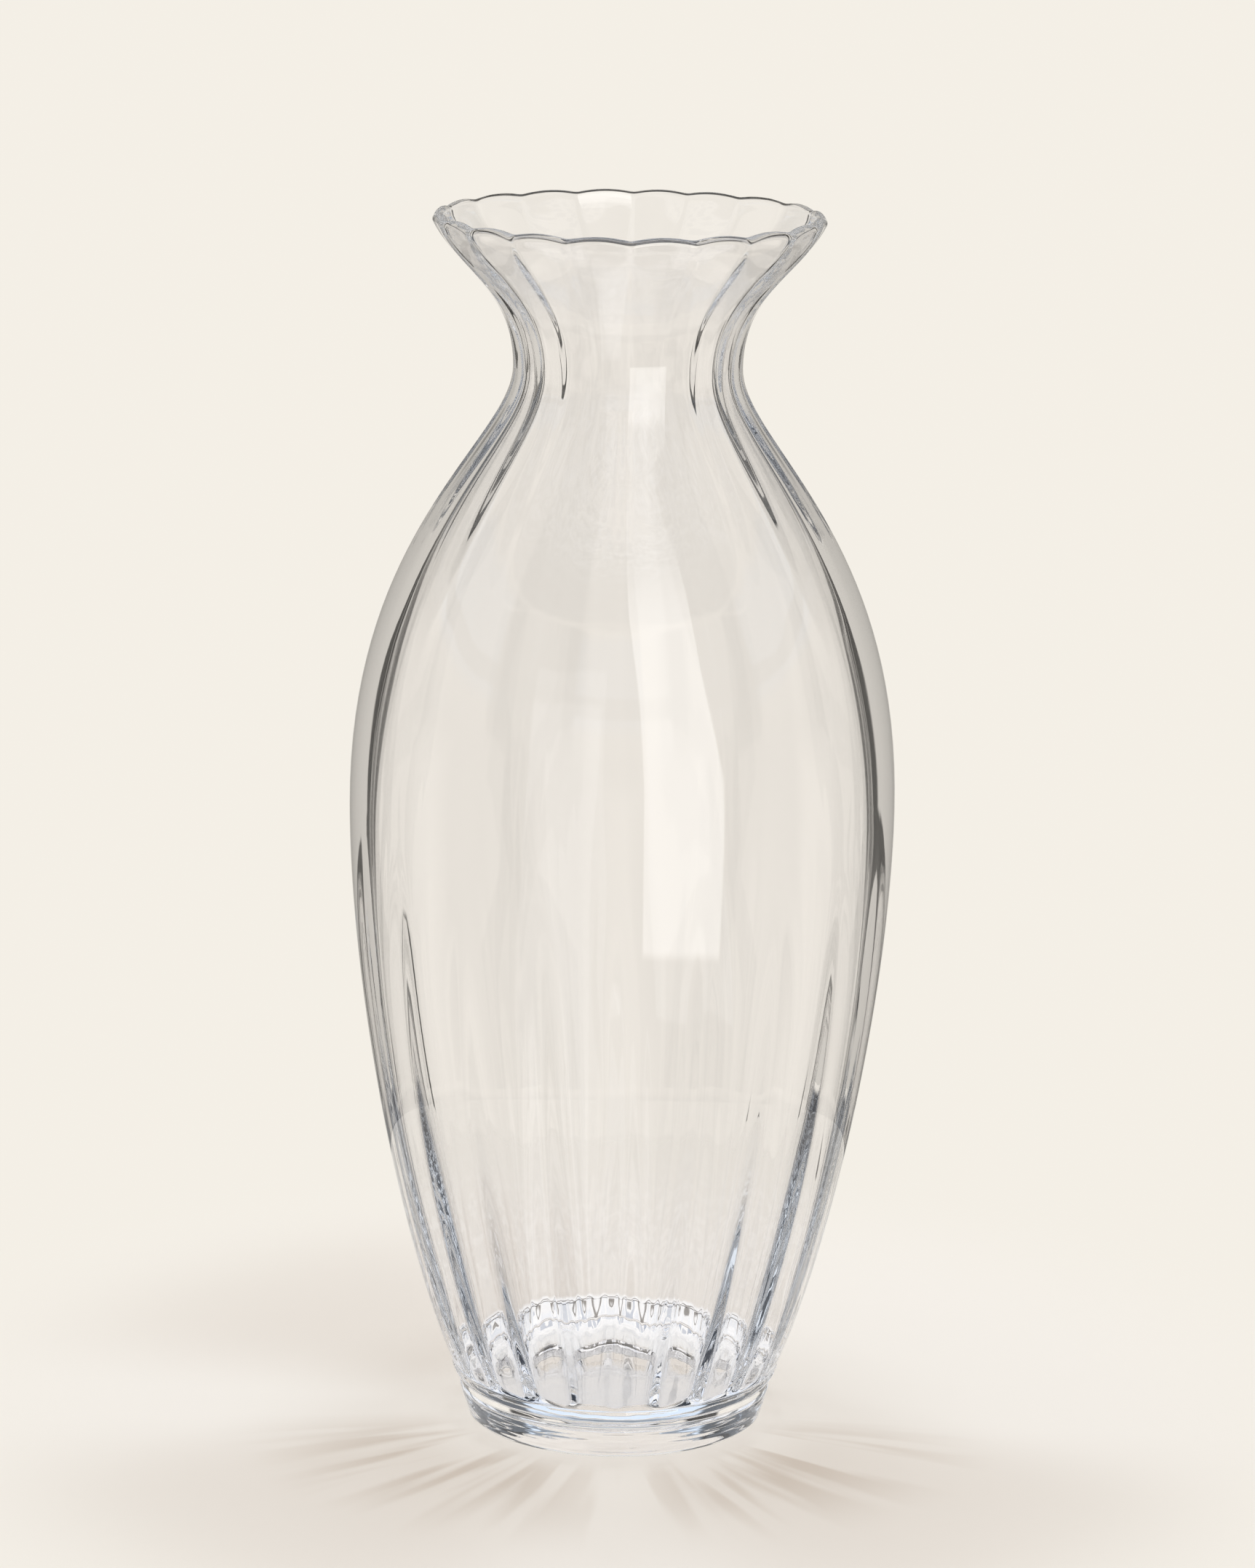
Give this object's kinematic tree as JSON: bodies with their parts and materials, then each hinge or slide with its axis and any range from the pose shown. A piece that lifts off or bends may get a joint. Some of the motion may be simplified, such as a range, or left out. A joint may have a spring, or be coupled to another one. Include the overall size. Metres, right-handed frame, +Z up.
{
  "type": "glass vase",
  "caption": "Tall clear glass vase with vertical optic flutes, a rounded belly, a narrow neck, a flared wavy lip and a solid round foot.",
  "frame": {"origin": "centre of the foot's underside, on the table that the vase stands on", "axes": "+Z up along the vase's axis, -Y towards the picture's camera, +X to the right in the picture"},
  "size_m": [0.1328, 0.1328, 0.3],
  "materials": {
    "clear_glass": "fire-polished, clear and colourless",
    "foot_glass": "polished, clear and colourless, thicker than the wall"
  },
  "bodies": {
    "root": {"body": "clear_glass", "foot": "foot_glass"}
  },
  "joints": []
}
